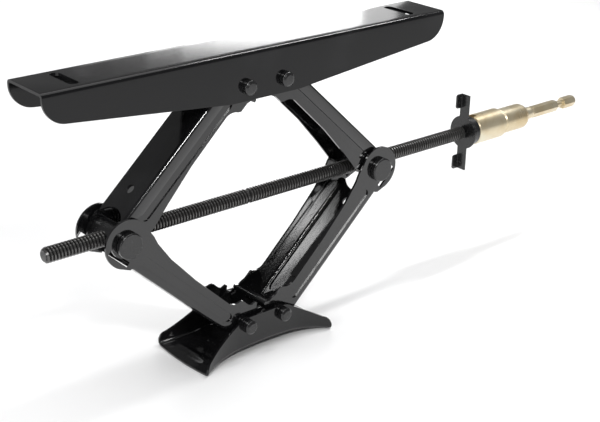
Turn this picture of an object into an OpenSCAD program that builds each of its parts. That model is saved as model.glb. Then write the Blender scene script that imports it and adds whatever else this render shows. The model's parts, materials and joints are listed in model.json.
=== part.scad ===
// Screw-driven scissor jack of the trailer stabiliser type, with its drill adapter.
// The screw runs along X, +Z is up. The origin is the centre of the channel's top face.

/* [Overall] */
// pivot to trunnion distance of every arm
arm_length = 268; // [215:1:330]
// angle of the lower arms above the ground at rest
rest_angle = 42.8; // [30:0.1:60]
// distance between the two pivots of a bracket
pivot_spacing = 66; // [56:1:76]
// length of the top channel
channel_length = 696; // [600:1:800]
// length of the foot along the screw
foot_length = 246; // [200:1:290]
// height of the bottom pivots above the ground
foot_pivot_height = 48.5; // [46:0.5:60]
// depth of the top pivots below the channel's top face
channel_pivot_depth = 49; // [46:0.5:60]

/* [Sheet] */
// thickness of the arm sheet
arm_sheet = 3.5; // [2.5:0.1:4.5]
// thickness of the channel and foot sheet
bracket_sheet = 4; // [3:0.1:5]
// outside half width of the upper arms
upper_arm_half = 31.5; // [29:0.5:40]

/* [Screw] */
// outside diameter of the lead screw
screw_diameter = 22; // [18:0.5:26]
// diameter of the pivot pins
pin_diameter = 14; // [11:0.5:17]
// diameter of the trunnion pins
trunnion_diameter = 18; // [14:0.5:22]

/* [Drive] */
// tip to tip height of the wing yoke
yoke_height = 130; // [110:1:150]
// across flats of the drive hex
hex_flats = 19; // [16:0.5:23]
// outside diameter of the drill socket
socket_diameter = 50; // [44:1:60]
// length of the drill socket without its neck
socket_length = 131; // [100:1:150]

/* [Hidden] */
fine = 96;
run_gap = 0.05;
body_gap = 0.5;
rib_press = 2;
half_pitch = pivot_spacing / 2;
lift = arm_length * sin(rest_angle);
reach = half_pitch + arm_length * cos(rest_angle);
top_pivot_z = -channel_pivot_depth;
screw_z = top_pivot_z - lift;
low_pivot_z = screw_z - lift;
ground_z = low_pivot_z - foot_pivot_height;

// widths, from the inside out
upper_inner = upper_arm_half - arm_sheet;
nut_half = upper_inner - body_gap;
lower_inner = upper_arm_half + rib_press + body_gap;
lower_arm_half = lower_inner + arm_sheet;
channel_inner = lower_arm_half + body_gap;
channel_half = channel_inner + bracket_sheet;
foot_inner = channel_half + 1;
foot_half = foot_inner + bracket_sheet;
pin_radius = pin_diameter / 2;
trunnion_radius = trunnion_diameter / 2;
screw_radius = screw_diameter / 2;
nut_radius = screw_radius + 7;

// arm shape: u runs along the arm, v towards the inside of the diamond
web_v = -24;
bend_radius = 5.5;
web_start = 12;
lower_web_end = arm_length - 30;
upper_web_end = arm_length - 18;
lower_web_hollow = 42;
upper_web_hollow = 31;
rib_half = 6.5;
rib_start = 35;
rib_end = arm_length - 44;
lower_rib_v = -6;
upper_rib_v = 1;
boss_radius = 35;
inner_boss = nut_radius + 4;

// geared ends
gear_module = 5;
tooth_step = 180 * gear_module / half_pitch;
tooth_middle = 126;
gear_root = half_pitch - 3.7;
gear_tip = half_pitch + 2.8;

// drive end, positions along X
screw_reach = half_pitch + arm_length + 35;
yoke_x = screw_reach + 123;
hex_radius = hex_flats / 2 / cos(30);
collar_x = yoke_x + 6;
collar_length = 10;
collar_radius = 24;
hex_x = yoke_x + 3;
hex_length = 44;
socket_x = collar_x + collar_length + 1;
socket_end = socket_x + socket_length;
socket_radius = socket_diameter / 2;
shank_hex_x = socket_end + 24;
shank_end = shank_hex_x + 115;

painted_black = [0.06, 0.06, 0.065];
dark_steel = [0.2, 0.2, 0.21];
bright_steel = [0.55, 0.55, 0.56];
gold_zinc = [0.78, 0.6, 0.28];

// ---- helpers ----

module along_x(x = 0, z = screw_z) {
  translate([x, 0, z])
    rotate([0, 90, 0])
      children();
}

// a 2D outline in x and z, made a plate between two y values
module side_plate(y_low, y_high) {
  translate([0, y_high, 0])
    rotate([90, 0, 0])
      linear_extrude(height = y_high - y_low)
        children();
}

module across_y(x, z, y_low, y_high, r) {
  translate([x, y_low, z])
    rotate([-90, 0, 0])
      cylinder(h = y_high - y_low, r = r, $fn = fine);
}

module obround(x_low, x_high, z_low, z_high) {
  r = (z_high - z_low) / 2;
  for (x = [x_low + r, x_high - r])
    translate([x, z_low + r])
      circle(r = r, $fn = fine);
  translate([x_low + r, z_low])
    square([x_high - x_low - 2 * r, z_high - z_low]);
}

// bent sheet section: web below, a wall on each side, round bends
module u_section(half, sheet, radius, height) {
  difference() {
    union() {
      translate([-half + radius, 0])
        square([2 * (half - radius), height]);
      translate([-half, radius])
        square([2 * half, height - radius]);
      for (side = [-1, 1])
        translate([side * (half - radius), radius])
          circle(r = radius, $fn = fine);
    }
    translate([-half + radius, sheet])
      square([2 * (half - radius), height]);
    translate([-half + sheet, radius])
      square([2 * (half - sheet), height]);
    for (side = [-1, 1])
      translate([side * (half - radius), radius])
        circle(r = radius - sheet, $fn = fine);
  }
}

// ---- arms ----

module gear_tooth() {
  polygon([[gear_root - 3, -6.2], [gear_root, -5.2], [half_pitch, -3.2], [gear_tip, -1.9],
           [gear_tip, 1.9], [half_pitch, 3.2], [gear_root, 5.2], [gear_root - 3, 6.2]]);
}

// inner edge of a flange, from the geared end's hollow out to the boss
lower_edge = [[arm_length - 16, 31.5], [arm_length - 30, 28.5], [arm_length - 43, 23.5],
              [arm_length - 78, 16.5], [130, 12], [50, 11]];
upper_edge = [[arm_length - 9, 19.5], [arm_length - 22, 20.5], [arm_length - 40, 24],
              [arm_length - 78, 18.5], [130, 12.5], [50, 11]];

module arm_outline(edge, boss, web_end, first_tooth, last_tooth, shift) {
  flare = boss > -web_v ? 1 : 0;
  difference() {
    union() {
      difference() {
        polygon(concat([[0, web_v], [web_end + 2, web_v], [web_end + 2, web_v - 2.5 * flare],
                        [web_end + 12, web_v - 6.5 * flare], [arm_length, web_v]],
                       edge, [[38, 17], [28, 26], [0, 26]]));
        translate([50, 31])
          circle(r = 20, $fn = fine);
        if (flare == 0)
          translate([arm_length, -boss_radius])
            square([boss_radius, 2 * boss_radius]);
      }
      circle(r = gear_root, $fn = fine);
      for (k = [first_tooth:last_tooth])
        rotate(tooth_middle + (k + shift) * tooth_step)
          gear_tooth();
      translate([arm_length, 0])
        circle(r = boss, $fn = fine);
    }
    translate([-2 * boss_radius, web_v - 2 * boss_radius])
      square([2 * boss_radius + web_end + 2, 2 * boss_radius]);
  }
}

module rib_outline(v, half) {
  obround(rib_start - half, rib_end + half, v - half, v + half);
}

module arm(half, edge, boss, web_end, hollow, rib_v, bead, first_tooth, last_tooth, shift) {
  difference() {
    union() {
      // flanges, cut back where the bends take over
      difference() {
        for (side = [0, 1])
          mirror([0, side, 0])
            side_plate(half - arm_sheet, half)
              arm_outline(edge, boss, web_end, first_tooth, last_tooth, shift);
        translate([web_start, -half - 1, web_v - 1])
          cube([web_end - web_start, 2 * half + 2, bend_radius + 1]);
      }
      // web with its two bends
      intersection() {
        translate([web_start, 0, web_v])
          rotate([90, 0, 90])
            linear_extrude(height = web_end - web_start)
              u_section(half, arm_sheet, bend_radius, bend_radius + 1);
        translate([web_start, -half - 1, web_v - 1])
          cube([web_end - web_start, 2 * half + 2, bend_radius + 1]);
      }
      // raised backs of the long pressed ribs and of the web's bead
      for (side = [0, 1])
        mirror([0, side, 0])
          side_plate(half - arm_sheet - rib_press, half - arm_sheet + 1)
            rib_outline(rib_v, rib_half + 1);
      if (bead)
        translate([0, 0, web_v + 1])
          linear_extrude(height = arm_sheet + 1)
            obround(60, arm_length - 82, -9, 9);
    }
    // hollow sides of the ribs and of the bead
    for (side = [0, 1])
      mirror([0, side, 0])
        side_plate(half - rib_press, half + 1)
          rib_outline(rib_v, rib_half);
    if (bead)
      translate([0, 0, web_v - 2])
        linear_extrude(height = 4)
          obround(62, arm_length - 84, -7, 7);
    across_y(0, 0, -half - 1, half + 1, pin_radius + run_gap);
    across_y(arm_length, 0, -half - 1, half + 1, trunnion_radius + run_gap);
    // hollow end of the web round the nut, and its drain hole
    translate([arm_length, 0, web_v - 2])
      cylinder(h = arm_sheet + 4, r = hollow, $fn = fine);
    translate([arm_length - 63, 0, web_v - 2])
      cylinder(h = arm_sheet + 4, r = 6.5, $fn = fine);
  }
}

module lower_arm(first_tooth, last_tooth, shift) {
  translate([half_pitch, 0, low_pivot_z])
    rotate([0, -rest_angle, 0])
      arm(lower_arm_half, lower_edge, boss_radius, lower_web_end, lower_web_hollow,
          lower_rib_v, true, first_tooth, last_tooth, shift);
}

module upper_arm(first_tooth, last_tooth, shift) {
  translate([0, 0, top_pivot_z])
    mirror([0, 0, 1])
      translate([half_pitch, 0, 0])
        rotate([0, -rest_angle, 0])
          arm(upper_arm_half, upper_edge, inner_boss, upper_web_end, upper_web_hollow,
              upper_rib_v, false, first_tooth, last_tooth, shift);
}

module lower_right_arm() {
  color(painted_black)
    lower_arm(-1, 1, 0);
}

module lower_left_arm() {
  color(painted_black)
    mirror([1, 0, 0])
      lower_arm(-1, 2, -0.5);
}

module upper_right_arm() {
  color(painted_black)
    upper_arm(-1, 1, 0);
}

module upper_left_arm() {
  color(painted_black)
    mirror([1, 0, 0])
      upper_arm(-1, 2, -0.5);
}

// ---- channel and foot ----

channel_edge = channel_pivot_depth + 20.5;
channel_rise = 29.5;
channel_corner = 35;
slot_x = channel_length / 2 - 56;

module channel_side() {
  end_x = channel_length / 2;
  slope = atan(channel_rise / (end_x - 60));
  corner_x = end_x - channel_corner;
  touch_x = corner_x + channel_corner * sin(slope);
  touch_z = -channel_edge + (touch_x - 60) * tan(slope);
  corner_z = touch_z + channel_corner * cos(slope);
  polygon([[-end_x, 0], [-end_x, corner_z], [-corner_x, corner_z], [-touch_x, touch_z],
           [-60, -channel_edge], [60, -channel_edge], [touch_x, touch_z],
           [corner_x, corner_z], [end_x, corner_z], [end_x, 0]]);
  for (side = [-1, 1])
    translate([side * corner_x, corner_z])
      circle(r = channel_corner, $fn = fine);
}

module mounting_channel() {
  color(painted_black)
    difference() {
      intersection() {
        rotate([90, 180, 90])
          translate([0, 0, -channel_length / 2])
            linear_extrude(height = channel_length)
              u_section(channel_half, bracket_sheet, 6, channel_edge + 1);
        side_plate(-channel_half - 1, channel_half + 1)
          channel_side();
      }
      for (side = [-1, 1])
        translate([side * slot_x, 0, -bracket_sheet - 1])
          linear_extrude(height = bracket_sheet + 2)
            rotate(90)
              obround(-28.5, 28.5, -7.25, 7.25);
      for (side = [-1, 1])
        across_y(side * half_pitch, top_pivot_z, -channel_half - 1, channel_half + 1, pin_radius);
    }
}

foot_flare_x = 46;
foot_flare = 18.5;
foot_run = foot_length / 2 - foot_flare_x;
flare_radius = (foot_run * foot_run + foot_flare * foot_flare) / 2 / foot_flare;
foot_arch = 12.5;
foot_sheet = bracket_sheet - 0.5;
arch_radius = (foot_length * foot_length / 4 + foot_arch * foot_arch) / 2 / foot_arch;

// plan of the foot out to a given half width at its waist
module foot_plan(waist) {
  bulge = 420;
  end_half = waist + foot_flare;
  intersection() {
    translate([-foot_length / 2, -end_half])
      square([foot_length, 2 * end_half]);
    difference() {
      translate([-foot_length / 2, -end_half])
        square([foot_length, 2 * end_half]);
      for (side = [-1, 1])
        translate([-foot_flare_x, side > 0 ? waist : -waist - 3 * foot_flare])
          square([2 * foot_flare_x, 3 * foot_flare]);
      for (side_x = [-1, 1])
        for (side_y = [-1, 1])
          intersection() {
            translate([side_x * foot_flare_x, side_y * (waist + flare_radius)])
              circle(r = flare_radius, $fn = fine);
            translate([side_x > 0 ? foot_flare_x : -foot_length, side_y > 0 ? 0 : -4 * waist])
              square([foot_length - foot_flare_x, 4 * waist]);
          }
    }
    translate([-bulge + foot_length / 2, 0])
      circle(r = bulge, $fn = fine);
    translate([bulge - foot_length / 2, 0])
      circle(r = bulge, $fn = fine);
  }
}

module foot_side() {
  top_z = low_pivot_z + 13;
  end_x = foot_length / 2 + 1;
  polygon([[-end_x, ground_z - 1], [-end_x, ground_z + 16], [-end_x + 10, ground_z + 20],
           [-44, top_z - 3], [-38, top_z], [38, top_z], [44, top_z - 3],
           [end_x - 10, ground_z + 20], [end_x, ground_z + 16], [end_x, ground_z - 1]]);
}

module foot() {
  color(painted_black)
    difference() {
      intersection() {
        translate([0, 0, ground_z])
          linear_extrude(height = foot_pivot_height + 20)
            foot_plan(foot_half);
        side_plate(-foot_half - 20, foot_half + 20)
          foot_side();
      }
      // hollow between the walls, above the arched floor
      difference() {
        translate([0, 0, ground_z - 1])
          linear_extrude(height = foot_pivot_height + 30)
            union() {
              foot_plan(foot_inner);
              for (side = [-1, 1])
                translate([side > 0 ? foot_length / 2 - 8 : -foot_length / 2 - 2, -foot_inner - 9])
                  square([10, 2 * foot_inner + 18]);
            }
        across_y(0, ground_z + foot_arch - arch_radius, -90, 90, arch_radius + foot_sheet);
      }
      across_y(0, ground_z + foot_arch - arch_radius, -90, 90, arch_radius);
      for (side = [-1, 1])
        across_y(side * half_pitch, low_pivot_z, -foot_half - 1, foot_half + 1, pin_radius);
    }
}

// ---- pins, spacers, nuts ----

module headed_pin(half_grip, r) {
  rotate([90, 0, 0])
    rotate_extrude($fn = fine)
      polygon([[0, -half_grip - 10.5], [7, -half_grip - 10.5], [10.5, -half_grip - 8],
               [10.5, -half_grip], [r, -half_grip], [r, half_grip], [10.5, half_grip],
               [10.5, half_grip + 8], [7, half_grip + 10.5], [0, half_grip + 10.5]]);
}

module top_pivot_pins() {
  color(dark_steel)
    for (side = [-1, 1])
      translate([side * half_pitch, 0, top_pivot_z])
        headed_pin(channel_half, pin_radius);
}

module bottom_pivot_pins() {
  color(dark_steel)
    for (side = [-1, 1])
      translate([side * half_pitch, 0, low_pivot_z])
        headed_pin(foot_half, pin_radius);
}

module spacer_rings(z, y_inner, y_outer, r) {
  for (side = [-1, 1])
    for (face = [0, 1])
      mirror([0, face, 0])
        difference() {
          across_y(side * half_pitch, z, y_inner, y_outer, r);
          across_y(side * half_pitch, z, y_inner - 1, y_outer + 1, pin_radius);
        }
}

module top_spacers() {
  color(dark_steel)
    spacer_rings(top_pivot_z, upper_arm_half + 0.3, channel_inner, pin_radius + 2.6);
}

module bottom_spacers() {
  color(dark_steel)
    spacer_rings(low_pivot_z, lower_arm_half + 0.3, foot_inner, pin_radius + 4.5);
}

module trunnion_nut(x) {
  difference() {
    across_y(x, screw_z, -nut_half, nut_half, nut_radius);
    along_x(x - nut_radius - 1)
      cylinder(h = 2 * nut_radius + 2, r = screw_radius + run_gap, $fn = fine);
    for (side = [0, 1])
      mirror([0, side, 0])
        across_y(x, screw_z, screw_radius + 5, nut_half + 1, trunnion_radius);
  }
}

// shank into the nut, wide head outside the lower arm
module trunnion_pin_pair(x) {
  head = lower_arm_half + 0.4;
  head_radius = 2 * trunnion_radius + 0.5;
  for (side = [0, 1])
    mirror([0, side, 0])
      translate([x, 0, screw_z])
        rotate([-90, 0, 0])
          rotate_extrude($fn = fine)
            polygon([[0, screw_radius + 5], [trunnion_radius, screw_radius + 5],
                     [trunnion_radius, head], [head_radius, head], [head_radius, head + 7],
                     [head_radius - 1.5, head + 8.5], [0, head + 8.5]]);
}

module left_trunnion_nut() {
  color(dark_steel)
    trunnion_nut(-reach);
}

module right_trunnion_nut() {
  color(dark_steel)
    trunnion_nut(reach);
}

module left_trunnion_pins() {
  color(dark_steel)
    trunnion_pin_pair(-reach);
}

module right_trunnion_pins() {
  color(dark_steel)
    trunnion_pin_pair(reach);
}

// ---- screw and drive ----

module lead_screw() {
  tail = hex_radius - 4.5;
  color(dark_steel)
    difference() {
      along_x()
        rotate_extrude($fn = fine)
          polygon([[0, -screw_reach], [screw_radius - 3.5, -screw_reach],
                   [screw_radius, -screw_reach + 3], [screw_radius, yoke_x - 7],
                   [screw_radius - 1.5, yoke_x - 4], [screw_radius - 1.5, yoke_x - 1.5],
                   [tail, yoke_x - 1.5], [tail, hex_x + hex_length], [0, hex_x + hex_length]]);
      translate([hex_x + hex_length - 14, 0, 0])
        across_y(0, screw_z, -20, 20, 2.5);
    }
}

module drive_yoke() {
  wing = 9.5;
  tail = hex_radius - 4.5;
  ear_low = yoke_height / 2 - 24;
  color(painted_black)
    difference() {
      union() {
        along_x(yoke_x - 1.5)
          cylinder(h = 3, r = 28, $fn = fine);
        translate([yoke_x - 1.5, -wing, screw_z - yoke_height / 2])
          cube([3, 2 * wing, yoke_height]);
        // ears folded back along the strip's far edge
        for (side = [0, 1])
          translate([yoke_x, 0, screw_z])
            mirror([0, 0, side])
              side_plate(wing - 3, wing)
                union() {
                  translate([-13, ear_low + 4])
                    square([14.5, yoke_height / 2 - ear_low - 8]);
                  translate([-9, ear_low])
                    square([10.5, yoke_height / 2 - ear_low]);
                  for (z = [ear_low + 4, yoke_height / 2 - 4])
                    translate([-9, z])
                      circle(r = 4, $fn = fine);
                }
      }
      along_x(yoke_x - 3)
        cylinder(h = 6, r = tail, $fn = fine);
    }
}

module drive_collar() {
  color(dark_steel)
    difference() {
      along_x(collar_x)
        cylinder(h = collar_length, r = collar_radius, $fn = fine);
      along_x(collar_x - 1)
        cylinder(h = collar_length + 2, r = hex_radius + run_gap, $fn = fine);
    }
}

module drive_hex() {
  tail = hex_radius - 4.5;
  color(dark_steel)
    difference() {
      along_x(hex_x)
        cylinder(h = hex_length, r = hex_radius, $fn = 6);
      along_x(hex_x - 1)
        cylinder(h = hex_length + 2, r = tail, $fn = fine);
      translate([hex_x + hex_length - 14, 0, 0])
        across_y(0, screw_z, -20, 20, 2.5);
    }
}

module drive_roll_pin() {
  color(bright_steel)
    difference() {
      across_y(hex_x + hex_length - 14, screw_z, -hex_flats / 2 + 0.5, hex_flats / 2 - 0.5, 2.5);
      across_y(hex_x + hex_length - 14, screw_z, -hex_flats, hex_flats, 1.4);
    }
}

module drill_socket() {
  waist = socket_radius - 3.5;
  color(gold_zinc)
    difference() {
      along_x()
        rotate_extrude($fn = fine)
          polygon([[0, socket_x], [socket_radius - 1.5, socket_x],
                   [socket_radius, socket_x + 1.5], [socket_radius, socket_x + 63],
                   [socket_radius - 2, socket_x + 65.5], [waist - 1.5, socket_x + 66.5],
                   [waist - 1.5, socket_x + 70], [waist, socket_x + 72],
                   [waist, socket_end - 9], [waist - 2.5, socket_end - 3],
                   [waist - 7, socket_end], [0, socket_end]]);
      along_x(socket_x - 1)
        cylinder(h = 59, r = hex_radius + 0.4, $fn = 6);
      along_x(socket_x - 1)
        cylinder(h = 4, r = hex_radius + 5.6, $fn = fine);
      // lock notch in the rim
      translate([socket_x - 1, -5, screw_z + hex_radius + 6.4])
        cube([9, 10, socket_radius]);
      along_x(socket_end - 22)
        cylinder(h = 30, r = 8, $fn = fine);
    }
}

module socket_shank() {
  color(gold_zinc)
    union() {
      along_x()
        rotate_extrude($fn = fine)
          polygon([[0, socket_end - 22], [8, socket_end - 22], [8, socket_end],
                   [10.5, socket_end], [10.5, shank_hex_x - 6], [9.5, shank_hex_x - 3],
                   [9.5, shank_hex_x], [8.6, shank_hex_x], [8.6, shank_hex_x + 1], [0, shank_hex_x + 1]]);
      along_x(shank_hex_x + 0.5)
        rotate(30)
          cylinder(h = 64, r = 10.4, $fn = 6);
      along_x(shank_hex_x + 64)
        cylinder(h = 20.5, r = 5.2, $fn = fine);
      intersection() {
        along_x(shank_hex_x + 84)
          rotate(30)
            cylinder(h = shank_end - shank_hex_x - 84, r = 10.4, $fn = 6);
        along_x()
          rotate_extrude($fn = fine)
            polygon([[0, shank_hex_x + 83], [11, shank_hex_x + 83], [11, shank_end - 5],
                     [7, shank_end + 1], [0, shank_end + 1]]);
      }
    }
}

mounting_channel();
foot();
upper_left_arm();
upper_right_arm();
lower_left_arm();
lower_right_arm();
top_pivot_pins();
bottom_pivot_pins();
top_spacers();
bottom_spacers();
left_trunnion_nut();
right_trunnion_nut();
left_trunnion_pins();
right_trunnion_pins();
lead_screw();
drive_yoke();
drive_collar();
drive_hex();
drive_roll_pin();
drill_socket();
socket_shank();
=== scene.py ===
import json
import math

import bmesh
import bpy
import numpy as np
from mathutils import Matrix, Vector


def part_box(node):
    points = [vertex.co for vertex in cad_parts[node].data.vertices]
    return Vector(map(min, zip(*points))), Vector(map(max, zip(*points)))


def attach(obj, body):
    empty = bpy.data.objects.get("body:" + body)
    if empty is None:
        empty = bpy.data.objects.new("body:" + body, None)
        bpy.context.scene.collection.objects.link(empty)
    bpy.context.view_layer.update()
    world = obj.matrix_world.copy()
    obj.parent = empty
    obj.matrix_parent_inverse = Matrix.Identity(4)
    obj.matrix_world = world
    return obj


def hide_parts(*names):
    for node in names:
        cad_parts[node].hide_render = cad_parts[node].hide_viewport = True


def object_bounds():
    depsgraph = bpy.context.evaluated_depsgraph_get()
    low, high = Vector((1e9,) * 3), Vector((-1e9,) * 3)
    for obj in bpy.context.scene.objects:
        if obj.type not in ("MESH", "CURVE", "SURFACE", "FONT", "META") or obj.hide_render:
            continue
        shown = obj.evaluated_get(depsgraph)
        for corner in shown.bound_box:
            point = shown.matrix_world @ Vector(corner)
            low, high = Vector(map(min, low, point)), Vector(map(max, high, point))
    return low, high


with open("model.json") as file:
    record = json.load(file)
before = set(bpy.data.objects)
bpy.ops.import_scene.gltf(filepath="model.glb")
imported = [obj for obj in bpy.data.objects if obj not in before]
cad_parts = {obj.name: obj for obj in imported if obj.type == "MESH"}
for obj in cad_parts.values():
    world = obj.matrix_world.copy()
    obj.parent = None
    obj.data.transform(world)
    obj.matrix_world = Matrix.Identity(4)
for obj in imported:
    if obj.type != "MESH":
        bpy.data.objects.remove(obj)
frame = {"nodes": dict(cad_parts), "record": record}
cadLow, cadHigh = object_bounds()
mm = 0.001
groundZ = cadLow[2]
screwZ = (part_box("left_trunnion_nut")[0][2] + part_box("left_trunnion_nut")[1][2]) / 2
print("frame loaded, ground at", round(groundZ, 4))


class Wire:
    # one socket, so that shader maths reads as ordinary arithmetic
    def __init__(self, tree, socket):
        self.tree = tree
        self.socket = socket

    def maths(self, operation, first, second=None):
        node = self.tree.nodes.new("ShaderNodeMath")
        node.operation = operation
        for place, value in enumerate((first, second)):
            if isinstance(value, Wire):
                self.tree.links.new(value.socket, node.inputs[place])
            elif value is not None:
                node.inputs[place].default_value = value
        return Wire(self.tree, node.outputs[0])

    def __add__(self, other):
        return self.maths("ADD", self, other)

    def __radd__(self, other):
        return self.maths("ADD", other, self)

    def __sub__(self, other):
        return self.maths("SUBTRACT", self, other)

    def __rsub__(self, other):
        return self.maths("SUBTRACT", other, self)

    def __mul__(self, other):
        return self.maths("MULTIPLY", self, other)

    def __rmul__(self, other):
        return self.maths("MULTIPLY", other, self)


class Finish:
    # one material and the nodes in it
    def __init__(self, name):
        self.material = bpy.data.materials.new(name)
        self.material.use_nodes = True
        self.tree = self.material.node_tree
        self.tree.nodes.clear()
        self.place = self.add("ShaderNodeTexCoord", out="Object")

    def add(self, kind, settings=None, inputs=None, out=0):
        node = self.tree.nodes.new(kind)
        for name, value in (settings or {}).items():
            if name == "stops":
                while len(node.color_ramp.elements) < len(value):
                    node.color_ramp.elements.new(0.5)
                for element, (at, shade) in zip(node.color_ramp.elements, value):
                    element.position = at
                    element.color = shade if len(shade) == 4 else (*shade, 1)
            else:
                setattr(node, name, value)
        for name, value in (inputs or {}).items():
            if isinstance(value, Wire):
                self.tree.links.new(value.socket, node.inputs[name])
            else:
                node.inputs[name].default_value = value
        return Wire(self.tree, node.outputs[out]) if len(node.outputs) else None

    # noise on the piece's own coordinates, stretched by a vector of scales
    def noise(self, scale, detail=3.0, stretch=(1, 1, 1), roughness=0.55):
        where = self.add("ShaderNodeMapping", {}, {"Vector": self.place, "Scale": stretch})
        return self.add("ShaderNodeTexNoise", {}, {"Vector": where, "Scale": scale,
                                                   "Detail": detail, "Roughness": roughness})

    # a mask: 0 below low, 1 above high
    def between(self, value, low, high):
        return self.add("ShaderNodeMapRange", {"interpolation_type": "SMOOTHSTEP"},
                        {"Value": value, "From Min": low, "From Max": high})

    def blend(self, mask, colourA, colourB):
        return self.add("ShaderNodeMix", {"data_type": "RGBA"},
                        {0: mask, 6: (*colourA, 1) if isinstance(colourA, tuple) else colourA,
                         7: (*colourB, 1) if isinstance(colourB, tuple) else colourB}, out=2)

    def bump(self, height, distance, strength=1.0):
        return self.add("ShaderNodeBump", {}, {"Height": height, "Distance": distance,
                                               "Strength": strength})

    def surface(self, inputs):
        shader = self.add("ShaderNodeBsdfPrincipled", {}, inputs)
        self.add("ShaderNodeOutputMaterial", {}, {"Surface": shader})
        return self.material


paint = dict(colour=(0.005, 0.005, 0.0055), dust=(0.03, 0.03, 0.032), gloss=0.08, peel=0.00002)


def glossBlackPaint(name, shine, coat):
    f = Finish(name)
    cloud = f.noise(9, 4)
    fine = f.noise(160, 3)
    peel = f.noise(420, 2)
    specks = f.between(f.noise(900, 1), 0.72, 0.78)
    dusty = f.between(cloud, 0.52, 0.8) * 0.35 + specks * 0.25
    scuff = f.between(f.noise(60, 5, (0.25, 1, 1)), 0.66, 0.74)
    return f.surface({
        "Base Color": f.blend(dusty, paint["colour"], paint["dust"]),
        "Roughness": paint["gloss"] + fine * 0.05 + scuff * 0.16 + dusty * 0.18,
        "Normal": f.bump(peel + specks * 0.4, paint["peel"]),
        "Coat Weight": coat, "Coat Roughness": 0.06, "Specular IOR Level": shine})


def satinBlackPaint():
    f = Finish("satinBlackPaint")
    cloud = f.noise(40, 4)
    rub = f.between(f.noise(150, 5), 0.6, 0.72)
    return f.surface({
        "Base Color": f.blend(rub, (0.008, 0.008, 0.0085), (0.03, 0.03, 0.031)),
        "Roughness": 0.2 + cloud * 0.12 + rub * 0.12,
        "Normal": f.bump(f.noise(500, 2), 0.00002),
        "Coat Weight": 0.25, "Coat Roughness": 0.12})


def blackOxideThread():
    f = Finish("blackOxideThread")
    crest = f.add("ShaderNodeAttribute", {"attribute_name": "crest"}, out="Fac")
    cloud = f.noise(55, 4)
    scratch = f.between(f.noise(260, 4, (0.15, 1, 1)), 0.58, 0.72)
    # thread crests lighter and more metallic than the roots, varied by noise, plus random scratch marks
    crestsAndScratches = crest * (0.35 + cloud * 0.7) + scratch * 0.12
    return f.surface({
        "Base Color": f.blend(crestsAndScratches, (0.012, 0.012, 0.0125), (0.17, 0.167, 0.163)),
        "Metallic": 0.3 + crestsAndScratches * 0.6,
        "Roughness": 0.2 + cloud * 0.1,
        "Normal": f.bump(f.noise(700, 3), 0.00003)})


def yellowZinc():
    f = Finish("yellowZinc")
    turned = f.noise(700, 2, (3, 0.15, 0.15))
    cloud = f.noise(22, 4)
    tint = f.between(f.noise(34, 3, (0.6, 1, 1)), 0.45, 0.7)
    warm = f.blend(f.between(cloud, 0.3, 0.7), (0.62, 0.49, 0.29), (0.74, 0.65, 0.47))
    return f.surface({
        "Base Color": f.blend(tint * 0.55, warm, (0.74, 0.72, 0.6)),
        "Metallic": 0.8,
        "Roughness": 0.2 + turned * 0.12 + cloud * 0.08,
        "Normal": f.bump(turned, 0.00002)})


def bareSteel():
    f = Finish("bareSteel")
    cloud = f.noise(300, 4)
    return f.surface({
        "Base Color": f.blend(cloud, (0.35, 0.35, 0.36), (0.6, 0.6, 0.6)),
        "Metallic": 1.0, "Roughness": 0.25 + cloud * 0.2,
        "Normal": f.bump(cloud, 0.00004)})


# three copies of one gloss black paint: the channel's and the foot's copies reflect less (lower specular
# level and coat) than the arms' copy, painted shade that darkens the channel and the foot
finishes = {"channel": glossBlackPaint("channelPaintShaded", 0.25, 0.1),
            "arms": glossBlackPaint("armPaint", 0.5, 0.4),
            "foot": glossBlackPaint("footPaintShaded", 0.38, 0.2),
            "satin": satinBlackPaint(), "thread": blackOxideThread(),
            "zinc": yellowZinc(), "steel": bareSteel()}
print("finishes made:", len(finishes))


def bodyOf(node):
    for body, nodes in frame["record"]["behaviour"]["bodies"].items():
        if node in nodes:
            return body


def settle(name, mesh, finish, nodes, edge=0.0, angle=35, segments=2):
    piece = bpy.data.objects.new(name, mesh)
    bpy.context.scene.collection.objects.link(piece)
    mesh.materials.clear()
    mesh.materials.append(finishes[finish])
    mesh.shade_smooth()
    mesh.set_sharp_from_angle(angle=math.radians(angle))
    if edge:
        bevel = piece.modifiers.new("edge", "BEVEL")
        bevel.width = edge
        bevel.segments = segments
        bevel.limit_method = "ANGLE"
        bevel.angle_limit = math.radians(angle)
        bevel.harden_normals = True
        bevel.miter_outer = "MITER_ARC"
    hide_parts(*nodes)
    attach(piece, bodyOf(nodes[0]))
    return piece


# a merged copy of a solid with its edges broken, as a tumbled and painted part has
def softened(node, name, finish, edge, angle=35, segments=2):
    source = frame["nodes"][node].data
    work = bmesh.new()
    work.from_mesh(source)
    bmesh.ops.remove_doubles(work, verts=work.verts, dist=2e-6)
    bmesh.ops.dissolve_limit(work, angle_limit=math.radians(0.6), verts=work.verts, edges=work.edges)
    mesh = bpy.data.meshes.new(name)
    work.to_mesh(mesh)
    work.free()
    return settle(name, mesh, finish, [node], edge, angle, segments)


# quads between the rows of a grid of points; wrapping closes it in the second direction
def gridFaces(rows, columns, wrap=False):
    row, column = np.meshgrid(np.arange(rows - 1), np.arange(columns - (0 if wrap else 1)),
                              indexing="ij")
    after = (column + 1) % columns
    return np.stack([row * columns + column, row * columns + after,
                     (row + 1) * columns + after, (row + 1) * columns + column], -1).reshape(-1, 4)


def meshFrom(name, points, faces):
    mesh = bpy.data.meshes.new(name)
    mesh.from_pydata(points.reshape(-1, 3).tolist(), [], faces if isinstance(faces, list) else faces.tolist())
    work = bmesh.new()
    work.from_mesh(mesh)
    bmesh.ops.remove_doubles(work, verts=work.verts, dist=1e-7)
    bmesh.ops.dissolve_degenerate(work, edges=work.edges, dist=1e-8)
    bmesh.ops.recalc_face_normals(work, faces=work.faces)
    work.to_mesh(mesh)
    work.free()
    return mesh


screw = dict(radius=11.0, depth=2.6, pitch=5.0, columns=48, chamfer=3.0,
             crestWidth=0.36, rootWidth=0.30)


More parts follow.
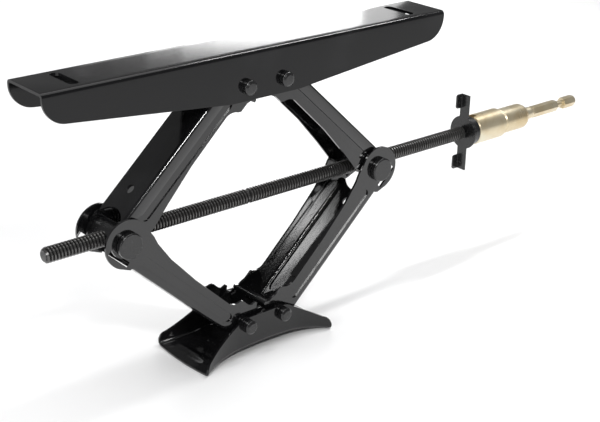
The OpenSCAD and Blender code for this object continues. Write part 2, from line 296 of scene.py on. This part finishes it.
# thread half: x = row position + pitch * angle / turn, so grid rows lie along the helix;
# r = root + depth * trapezoid wave of the row's place in the pitch; both are clipped at the ends
def threadHalf(start, end, hand):
    crest, root = screw["crestWidth"], screw["rootWidth"]
    ramp = (1 - crest - root) / 2
    stops = np.array([0, crest, crest + ramp, crest + ramp + root])
    heights = np.array([1.0, 1.0, 0.0, 0.0])
    pitch = screw["pitch"]
    turns = math.ceil((end - start) / pitch) + 2
    along = (np.arange(-2, turns)[:, None] + stops[None, :]).reshape(-1) * pitch
    wave = np.tile(heights, turns + 2)
    angle = np.arange(screw["columns"]) / screw["columns"]
    x = start + along[:, None] + pitch * angle[None, :]
    lift = np.broadcast_to(wave[:, None], x.shape)
    x = np.clip(x, start, end)
    fromEnd = np.minimum(x - start, end - x)
    limit = screw["radius"] - np.maximum(screw["chamfer"] - fromEnd, 0) * 1.1
    radius = np.minimum(screw["radius"] - screw["depth"] * (1 - lift), limit)
    turn = 2 * math.pi * angle[None, :] * hand
    points = np.stack([x, radius * np.cos(turn), radius * np.sin(turn)], -1)
    rows, columns = x.shape
    row, column = np.meshgrid(np.arange(rows - 5), np.arange(columns), indexing="ij")
    after = (column + 1) % columns
    step = np.where(column == columns - 1, len(stops), 0)
    index = lambda r, c: r * columns + c
    faces = np.stack([index(row, column), index(row + step, after),
                      index(row + 1 + step, after), index(row + 1, column)], -1).reshape(-1, 4)
    return points.reshape(-1, 3), faces, lift.reshape(-1)


def leadScrew():
    low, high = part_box("lead_screw")
    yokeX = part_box("drive_yoke")[1][0] - 1.5 * mm
    start, end = low[0] / mm, yokeX / mm - 4
    middle = 0.0
    name = "leadScrew"
    work = bmesh.new()
    for a, b, hand in ((start, middle, 1), (middle, end, -1)):
        points, faces, lift = threadHalf(a, b, hand)
        if hand > 0:
            points[:, 0] = a + b - points[:, 0]
            points[:, 2] = -points[:, 2]
        part = bpy.data.meshes.new("part")
        points = points * mm + np.array([0, 0, screwZ])
        part.from_pydata(points.tolist(), [], faces.tolist())
        attribute = part.attributes.new("crest", "FLOAT", "POINT")
        attribute.data.foreach_set("value", lift.astype(np.float32))
        work.from_mesh(part)
        bpy.data.meshes.remove(part)
    bmesh.ops.remove_doubles(work, verts=work.verts, dist=1e-7)
    bmesh.ops.delete(work, geom=[v for v in work.verts if not v.link_faces], context="VERTS")
    edges = [e for e in work.edges if e.is_boundary]
    bmesh.ops.holes_fill(work, edges=edges, sides=0)
    bmesh.ops.dissolve_degenerate(work, edges=work.edges, dist=1e-8)
    bmesh.ops.recalc_face_normals(work, faces=work.faces)
    mesh = bpy.data.meshes.new(name)
    work.to_mesh(mesh)
    work.free()
    return settle(name, mesh, "thread", ["lead_screw"], angle=28)


foot = dict(edge=0.6, sheet=3.5, bend=5.5, flareFrom=46.0, flare=16.7, arch=12.5, bulge=420.0,
            ribAt=102.0, ribHalf=5.0, ribRise=2.2, ribLength=38.0)


# foot: a sheet whose section is wall, round bend, floor, bend, wall; along X the section widens
# as a circular flare, the floor follows a shallow arch and the wall tops follow their outline
def flaredFoot():
    low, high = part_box("foot")
    pinZ = (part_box("bottom_pivot_pins")[0][2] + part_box("bottom_pivot_pins")[1][2]) / 2 / mm
    sheet, bend = foot["sheet"], foot["bend"]
    half = high[0] / mm
    ground = low[2] / mm
    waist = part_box("bottom_spacers")[1][1] / mm + sheet / 2 + 0.1
    run = half - foot["flareFrom"]
    flareRadius = (run ** 2 + foot["flare"] ** 2) / 2 / foot["flare"]
    archRadius = (half ** 2 + foot["arch"] ** 2) / 2 / foot["arch"]
    u = np.linspace(-1, 1, 97)
    bendCount, wallCount, floorCount = 7, 14, 41
    wall = np.linspace(1, 0, wallCount)
    turn = np.linspace(0, math.pi / 2, bendCount)
    # section parameters on one side: how far out (0 centre, 1 wall) and how high
    X = u[:, None] * half
    flare = np.maximum(np.abs(X) - foot["flareFrom"], 0)
    wide = waist + flareRadius - np.sqrt(np.maximum(flareRadius ** 2 - flare ** 2, 0))
    floor = ground + sheet / 2 + foot["arch"] - (archRadius - np.sqrt(archRadius ** 2 - X ** 2))
    tops = np.interp(np.abs(X), [0, 36, 40, 46, half - 12, half - 6, half - 2.5, half],
                     [pinZ + 13, pinZ + 13, pinZ + 12, pinZ + 9.5,
                      ground + 22, ground + 19.5, ground + 15.5, ground + 9.5])
    tops = np.maximum(tops, floor + bend + 0.5)
    wallY = np.broadcast_to(wide, (len(u), wallCount))
    wallZ = floor + bend + (tops - floor - bend) * wall[None, :]
    bendY = wide - bend + bend * np.cos(turn)[None, :]
    bendZ = floor + bend - bend * np.sin(turn)[None, :]
    floorY = (wide - bend) * np.linspace(1, -1, floorCount)[None, 1:-1]
    floorZ = np.broadcast_to(floor, floorY.shape)
    ribX = np.exp(-(((np.abs(X) - foot["ribAt"]) / foot["ribHalf"]) ** 2))
    ribY = 1 / (1 + np.exp((np.abs(floorY) - foot["ribLength"]) / 1.5))
    floorZ = floorZ + foot["ribRise"] * ribX * ribY
    y = np.concatenate([wallY, bendY[:, 1:], floorY, -bendY[:, 1:][:, ::-1], -wallY[:, ::-1]], 1)
    z = np.concatenate([wallZ, bendZ[:, 1:], floorZ, bendZ[:, 1:][:, ::-1], wallZ[:, ::-1]], 1)
    bow = foot["bulge"] - np.sqrt(foot["bulge"] ** 2 - y ** 2)
    x = u[:, None] * (half - bow)
    points = np.stack([x, y, z], -1) * mm
    mesh = meshFrom("flaredFoot", points, gridFaces(*x.shape))
    piece = settle("flaredFoot", mesh, "foot", ["foot"], angle=50)
    wallThickness = piece.modifiers.new("sheet", "SOLIDIFY")
    wallThickness.thickness = sheet * mm
    wallThickness.offset = 0
    wallThickness.use_even_offset = True
    edge = piece.modifiers.new("edge", "BEVEL")
    edge.width = foot["edge"] * mm
    edge.segments = 2
    edge.limit_method = "ANGLE"
    edge.angle_limit = math.radians(50)
    edge.harden_normals = True
    return piece


sheetParts = dict(mounting_channel="mountingChannel", upper_left_arm="upperLeftArm",
                  upper_right_arm="upperRightArm", lower_left_arm="lowerLeftArm",
                  lower_right_arm="lowerRightArm")
for node, name in sheetParts.items():
    softened(node, name, "channel" if node == "mounting_channel" else "arms", 0.5 * mm)
print("pressed sheet parts done")

turnedParts = dict(top_pivot_pins="topPivotPins", bottom_pivot_pins="bottomPivotPins",
                   top_spacers="topSpacers", bottom_spacers="bottomSpacers",
                   left_trunnion_nut="leftTrunnionNut", right_trunnion_nut="rightTrunnionNut",
                   left_trunnion_pins="leftTrunnionPins", right_trunnion_pins="rightTrunnionPins",
                   drive_collar="driveCollar")
for node, name in turnedParts.items():
    softened(node, name, "satin", 0.8 * mm, 25, 3)
softened("drive_yoke", "driveYoke", "satin", 0.7 * mm, 35, 3)
softened("drive_hex", "driveHex", "satin", 0.4 * mm)
softened("drive_roll_pin", "driveRollPin", "steel", 0.2 * mm)
softened("drill_socket", "drillSocket", "zinc", 0.6 * mm, 20, 3)
softened("socket_shank", "socketShank", "zinc", 0.4 * mm, 20, 2)
print("turned parts done")
leadScrew()
print("lead screw done")
flaredFoot()
print("foot done")


studio = dict(floor=(0.9, 0.9, 0.905), floorSize=40.0, skyHigh=0.1, skyLow=0.24,
              backShares=(0.12, 0.2, 0.5, 0.9, 1, 1, 1, 0.9, 0.3), backWidth=0.12, backPower=1.9,
              backHeight=0.8, backAway=2.6, backDrop=0.4, sun=2.0, sunSpread=75, sunFrom=(0.12, 0.1, 1))
smallBoxes = dict(leftBox=dict(place=(-2.6, -0.6, 0.5), width=0.25, height=1.2, power=16),
                  rightBox=dict(place=(1.56, 0.02, 2.07 + screwZ), width=0.12, height=0.7, power=20),
                  frontBox=dict(place=(-0.88, -1.81, 1.64 + screwZ), width=0.6, height=0.12, power=26))


def paleFloor():
    side = studio["floorSize"] / 2
    corners = np.array([[-side, -side, 0], [side, -side, 0], [side, side, 0], [-side, side, 0]])
    mesh = bpy.data.meshes.new("paleFloor")
    mesh.from_pydata((corners + [0, 0, groundZ]).tolist(), [], [(0, 1, 2, 3)])
    floor = bpy.data.objects.new("paleFloor", mesh)
    bpy.context.scene.collection.objects.link(floor)
    f = Finish("palePaper")
    mesh.materials.append(f.surface({
        "Base Color": f.blend(f.noise(3, 3), studio["floor"], (0.95, 0.95, 0.95)),
        "Roughness": 0.6}))


def softSky():
    world = bpy.data.worlds.new("softSky")
    bpy.context.scene.world = world
    world.use_nodes = True
    tree = world.node_tree
    tree.nodes.clear()
    direction = Wire(tree, tree.nodes.new("ShaderNodeTexCoord").outputs["Generated"])
    parts = tree.nodes.new("ShaderNodeSeparateXYZ")
    tree.links.new(direction.socket, parts.inputs[0])
    up = Wire(tree, parts.outputs[2])
    strength = studio["skyLow"] + up * (studio["skyHigh"] - studio["skyLow"])
    sky = tree.nodes.new("ShaderNodeBackground")
    sky.inputs["Color"].default_value = (1, 1, 1, 1)
    tree.links.new(strength.socket, sky.inputs["Strength"])
    out = tree.nodes.new("ShaderNodeOutputWorld")
    tree.links.new(sky.outputs[0], out.inputs["Surface"])


def softBox(name, place, target, width, height, power):
    light = bpy.data.lights.new(name, "AREA")
    light.shape = "RECTANGLE"
    light.size, light.size_y = width, height
    light.energy = power
    lamp = bpy.data.objects.new(name, light)
    bpy.context.scene.collection.objects.link(lamp)
    lamp.location = place
    lamp.rotation_euler = (Vector(target) - Vector(place)).to_track_quat("-Z", "Y").to_euler()


# where the camera stands, from its angles and the view's offset at that distance
viewFrom = dict(azimuth=-41.13, elevation=22.93, roll=-1.34, across=-0.0769, above=0.0218,
                away=1.8722, lens=77.52)


def standCamera():
    a, e, r = (math.radians(viewFrom[k]) for k in ("azimuth", "elevation", "roll"))
    back = Vector((math.sin(a) * math.cos(e), -math.cos(a) * math.cos(e), math.sin(e)))
    right = Vector((math.cos(a), math.sin(a), 0))
    up = back.cross(right)
    right, up = (math.cos(r) * right - math.sin(r) * up, math.sin(r) * right + math.cos(r) * up)
    place = (Vector((0, 0, screwZ)) - viewFrom["across"] * right - viewFrom["above"] * up
             + viewFrom["away"] * back)
    lens = bpy.data.cameras.new("camera")
    lens.lens = viewFrom["lens"]
    lens.sensor_width = 36
    camera = bpy.data.objects.new("camera", lens)
    bpy.context.scene.collection.objects.link(camera)
    camera.matrix_world = Matrix.Translation(place) @ Matrix((right, up, back)).transposed().to_4x4()
    bpy.context.scene.camera = camera
    return place


# an even, wide light from overhead
def overheadLight(strength, spread, lean):
    light = bpy.data.lights.new("overhead", "SUN")
    light.energy = strength
    light.angle = math.radians(spread)
    lamp = bpy.data.objects.new("overhead", light)
    bpy.context.scene.collection.objects.link(lamp)
    lamp.rotation_euler = Vector(lean).to_track_quat("Z", "Y").to_euler()


bpy.context.scene.view_settings.view_transform = "Standard"
paleFloor()
softSky()
eye = standCamera()
overheadLight(studio["sun"], studio["sunSpread"], studio["sunFrom"])
# a row of boxes low behind the channel, fading to both ends, where its top face mirrors them
topMiddle = Vector((-0.02, 0, 0))
ray = (topMiddle - eye).normalized()
mirrored = Vector((ray.x, ray.y, -ray.z))
aside = mirrored.cross(Vector((0, 0, 1))).normalized()
for step, share in enumerate(studio["backShares"]):
    across = (step - len(studio["backShares"]) / 2 + 0.5) * studio["backWidth"]
    place = topMiddle + mirrored * studio["backAway"] - Vector((0, 0, studio["backDrop"])) + aside * across
    softBox("backBox%d" % step, place, topMiddle, studio["backWidth"], studio["backHeight"],
            share * studio["backPower"])
for name, box in smallBoxes.items():
    softBox(name, box["place"], (0, 0, screwZ), box["width"], box["height"], box["power"])
print("studio done")
